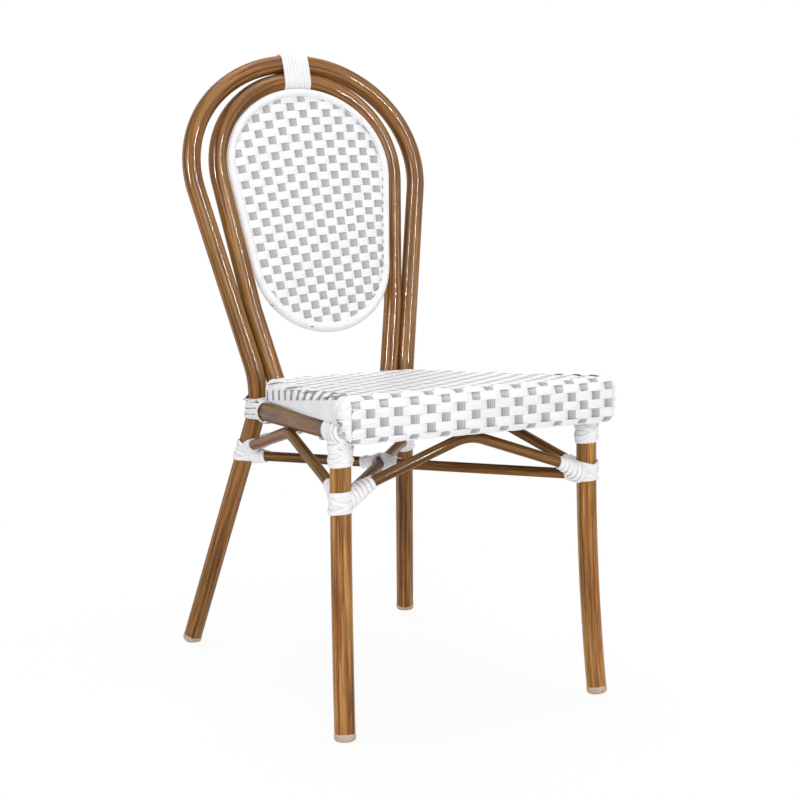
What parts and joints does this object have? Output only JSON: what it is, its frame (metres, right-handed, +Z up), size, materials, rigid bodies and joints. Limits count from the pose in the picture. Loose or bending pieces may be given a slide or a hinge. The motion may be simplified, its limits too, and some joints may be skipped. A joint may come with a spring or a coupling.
{
  "type": "cafe chair",
  "caption": "Stacking cafe chair of bent cane-look metal tubes, with a woven seat and apron, an oval woven back panel in two nested loops, arched braces and cane lashings.",
  "frame": {"origin": "on the floor, under the centre of the chair's box", "axes": "+X across the chair, -Y towards its front, +Z up"},
  "size_m": [0.434, 0.586, 0.9164],
  "materials": {
    "cane_tube": "semi-gloss painted wood grain with bamboo-brown streaks",
    "weave": "white and grey woven synthetic cane strips",
    "binding": "white synthetic cane wound tightly round the panel's hoop",
    "lashing": "white flat synthetic cane strip",
    "foot": "beige moulded plastic glide",
    "inner_metal": "plain extruded metal and screws, hidden in the seat and the panel"
  },
  "bodies": {
    "root": {"front_leg_left": "cane_tube", "side_rail_left": "cane_tube", "arch_brace_left": "cane_tube", "seat_side_band_left": "weave", "upper_lashing_front_left": "lashing", "rail_lashing_left": "lashing", "seat_lashing_rear_left": "lashing", "front_leg_right": "cane_tube", "side_rail_right": "cane_tube", "arch_brace_right": "cane_tube", "seat_side_band_right": "weave", "upper_lashing_front_right": "lashing", "rail_lashing_right": "lashing", "seat_lashing_rear_right": "lashing", "back_loop_and_rear_legs": "cane_tube", "inner_back_loop": "cane_tube", "front_cross_rail": "cane_tube", "rear_cross_rail": "cane_tube", "arch_brace_front": "cane_tube", "arch_brace_rear": "cane_tube", "cross_brace_through": "cane_tube", "cross_brace_front_half": "cane_tube", "cross_brace_rear_half": "cane_tube", "foot_front_left": "foot", "seat_screw_front_left": "inner_metal", "lower_lashing_front_left": "lashing", "cross_lashing_front_left": "lashing", "foot_front_right": "foot", "seat_screw_front_right": "inner_metal", "lower_lashing_front_right": "lashing", "cross_lashing_front_right": "lashing", "foot_rear_left": "foot", "seat_screw_rear_left": "inner_metal", "lower_lashing_rear_left": "lashing", "cross_lashing_rear_left": "lashing", "foot_rear_right": "foot", "seat_screw_rear_right": "inner_metal", "lower_lashing_rear_right": "lashing", "cross_lashing_rear_right": "lashing", "crossing_lashing_front": "lashing", "crossing_lashing_rear": "lashing", "arch_lashing_front_start": "lashing", "arch_lashing_front_end": "lashing", "arch_lashing_rear_start": "lashing", "arch_lashing_rear_end": "lashing", "arch_lashing_left_start": "lashing", "arch_lashing_left_end": "lashing", "arch_lashing_right_start": "lashing", "arch_lashing_right_end": "lashing", "seat_frame": "inner_metal", "apron_bar": "inner_metal", "panel_hoop": "inner_metal", "seat_weave": "weave", "panel_weave": "weave", "panel_binding": "binding", "top_lashing": "lashing"}
  },
  "joints": []
}
